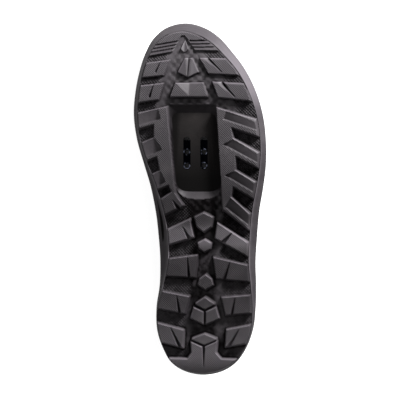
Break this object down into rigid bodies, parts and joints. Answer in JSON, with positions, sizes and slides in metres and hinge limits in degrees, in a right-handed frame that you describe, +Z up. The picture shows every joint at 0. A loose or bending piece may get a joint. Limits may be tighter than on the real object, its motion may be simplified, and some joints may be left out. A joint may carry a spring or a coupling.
{
  "type": "cycling shoe",
  "caption": "Left off-road cycling shoe lying on its side, with a lugged rubber outsole, a cleat recess with bolt slots, a low upper and closing straps.",
  "frame": {"origin": "centre of the bounding box's base, on the floor that the shoe lies on", "axes": "+Y towards the toe, +X from the tread side to the collar side, +Z up; the shoe lies on its inner side"},
  "size_m": [0.1248, 0.2894, 0.1045],
  "materials": {
    "outsole_rubber": "matt moulded rubber, finely textured",
    "plate_nylon": "matt moulded nylon",
    "nut_steel": "plain steel",
    "upper_synthetic": "matt black synthetic leather",
    "tongue_mesh": "black padded mesh",
    "strap_webbing": "black webbing",
    "insole_foam": "dark cloth over foam",
    "loop_tape": "black woven tape"
  },
  "bodies": {
    "shoe": {"outsole": "outsole_rubber", "sole_plate": "plate_nylon", "insole": "insole_foam", "upper": "upper_synthetic", "tongue": "tongue_mesh", "strap_1": "strap_webbing", "strap_2": "strap_webbing", "strap_3": "strap_webbing", "pull_loop": "loop_tape"},
    "nut": {"cleat_nut": "nut_steel"}
  },
  "joints": [
    {"name": "nut_slide", "type": "slide", "parent": "shoe", "child": "nut", "axis": [0, 0.9953, 0.0968], "range_m": [0, 0.009]}
  ]
}
